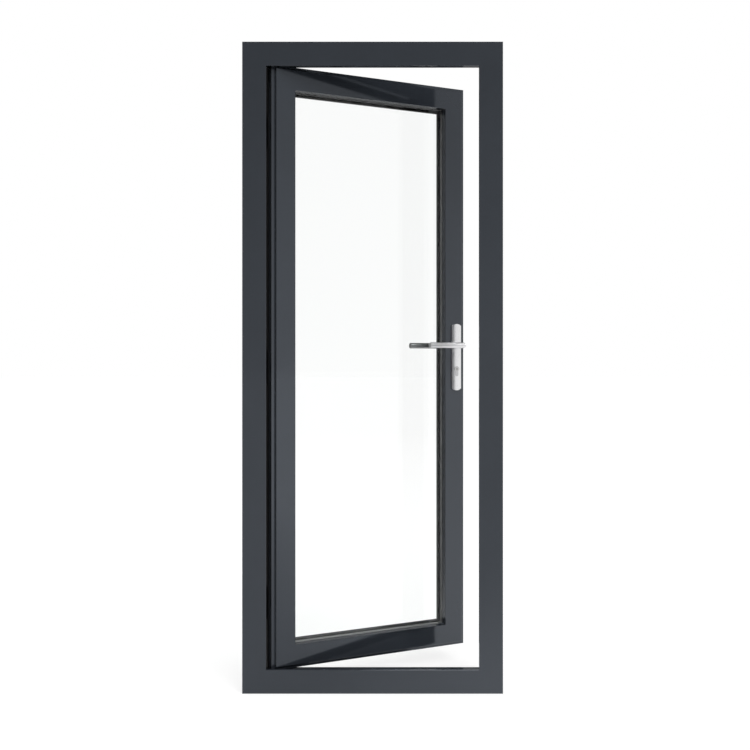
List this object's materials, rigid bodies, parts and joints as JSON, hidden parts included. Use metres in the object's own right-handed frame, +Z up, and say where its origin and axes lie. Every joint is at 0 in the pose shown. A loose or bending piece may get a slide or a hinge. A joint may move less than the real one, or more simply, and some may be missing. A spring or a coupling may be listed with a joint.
{
  "type": "glass entrance door",
  "caption": "Framed glass entrance door standing ajar: insulated aluminium frame and leaf, double glazing, barrel hinges, lever handles and a cylinder lock.",
  "frame": {"origin": "middle of the sill's underside, half way through the frame's depth", "axes": "+X right as seen from outside, +Y inward, +Z up"},
  "size_m": [0.8, 0.3681, 2],
  "materials": {
    "anthracite_coat": "satin powder coat",
    "insulating_plastic": "black polyamide",
    "black_rubber": "matt",
    "clear_glass": "clear float glass",
    "spacer_grey": "light grey composite",
    "bare_aluminium": "mill finish",
    "satin_handle": "satin stainless",
    "lock_steel": "zinc plated",
    "plug_brass": "nickel plated"
  },
  "bodies": {
    "frame": {"frame_head_outer": "anthracite_coat", "frame_head_inner": "anthracite_coat", "frame_sill_outer": "anthracite_coat", "frame_sill_inner": "anthracite_coat", "frame_hinge_jamb_outer": "anthracite_coat", "frame_hinge_jamb_inner": "anthracite_coat", "frame_lock_jamb_outer": "anthracite_coat", "frame_lock_jamb_inner": "anthracite_coat", "frame_insulating_strips": "insulating_plastic", "frame_corner_cleats": "bare_aluminium", "frame_gasket": "black_rubber", "strike_plate": "lock_steel", "strike_screws": "lock_steel", "hinge_top_frame_flap": "anthracite_coat", "hinge_middle_frame_flap": "anthracite_coat", "hinge_bottom_frame_flap": "anthracite_coat", "hinge_pins": "lock_steel", "hinge_frame_screws": "lock_steel"},
    "leaf": {"leaf_top_rail_outer": "anthracite_coat", "leaf_top_rail_inner": "anthracite_coat", "leaf_bottom_rail_outer": "anthracite_coat", "leaf_bottom_rail_inner": "anthracite_coat", "leaf_hinge_stile_outer": "anthracite_coat", "leaf_hinge_stile_inner": "anthracite_coat", "leaf_lock_stile_outer": "anthracite_coat", "leaf_lock_stile_inner": "anthracite_coat", "leaf_insulating_strips": "insulating_plastic", "leaf_corner_cleats": "bare_aluminium", "leaf_edge_seal": "black_rubber", "glass_outer_pane": "clear_glass", "glass_inner_pane": "clear_glass", "glass_spacer": "spacer_grey", "glass_edge_seal": "black_rubber", "glazing_gasket_outer": "black_rubber", "glazing_gasket_inner": "black_rubber", "bead_top": "anthracite_coat", "bead_bottom": "anthracite_coat", "bead_hinge_side": "anthracite_coat", "bead_lock_side": "anthracite_coat", "glazing_packers": "insulating_plastic", "hinge_top_leaf_flap": "anthracite_coat", "hinge_middle_leaf_flap": "anthracite_coat", "hinge_bottom_leaf_flap": "anthracite_coat", "hinge_leaf_screws": "lock_steel", "lock_case": "lock_steel", "lock_faceplate": "lock_steel", "lock_screws": "lock_steel", "cylinder_body": "satin_handle", "handle_plate_outer": "satin_handle", "handle_plate_inner": "satin_handle", "handle_screws": "lock_steel"},
    "lever_set": {"lock_follower": "lock_steel", "lever_outer": "satin_handle", "lever_inner": "satin_handle", "lever_spindle": "lock_steel"},
    "latch": {"latch_bolt": "lock_steel"},
    "key_plug": {"cylinder_plugs": "plug_brass", "cylinder_cam": "lock_steel"},
    "bolt": {"dead_bolt": "lock_steel"}
  },
  "joints": [
    {"name": "leaf_swing", "type": "hinge", "parent": "frame", "child": "leaf", "pos_m": [-0.34, 0.042, 1], "axis": [0, 0, 1], "range_deg": [-23, 77]},
    {"name": "lever_turn", "type": "hinge", "parent": "leaf", "child": "lever_set", "pos_m": [0.26645, 0.2538, 1.071], "axis": [0.3907, -0.9205, 0], "range_deg": [0, 42], "stiffness_Nm_per_rad": 1.2, "springref_deg": -45.84},
    {"name": "latch_slide", "type": "slide", "parent": "leaf", "child": "latch", "axis": [-0.9205, -0.3907, 0], "range_m": [0, 0.0115]},
    {"name": "key_turn", "type": "hinge", "parent": "leaf", "child": "key_plug", "pos_m": [0.26645, 0.2538, 0.993], "axis": [0.3907, -0.9205, 0], "range_deg": [0, 360]},
    {"name": "bolt_throw", "type": "slide", "parent": "leaf", "child": "bolt", "axis": [0.9205, 0.3907, 0], "range_m": [0, 0.02]}
  ],
  "couplings": [
    {"joint": "latch_slide", "follows": "lever_turn", "m_per_rad": 0.015688},
    {"joint": "key_turn", "follows": "bolt_throw", "rad_per_m": 314.16}
  ]
}
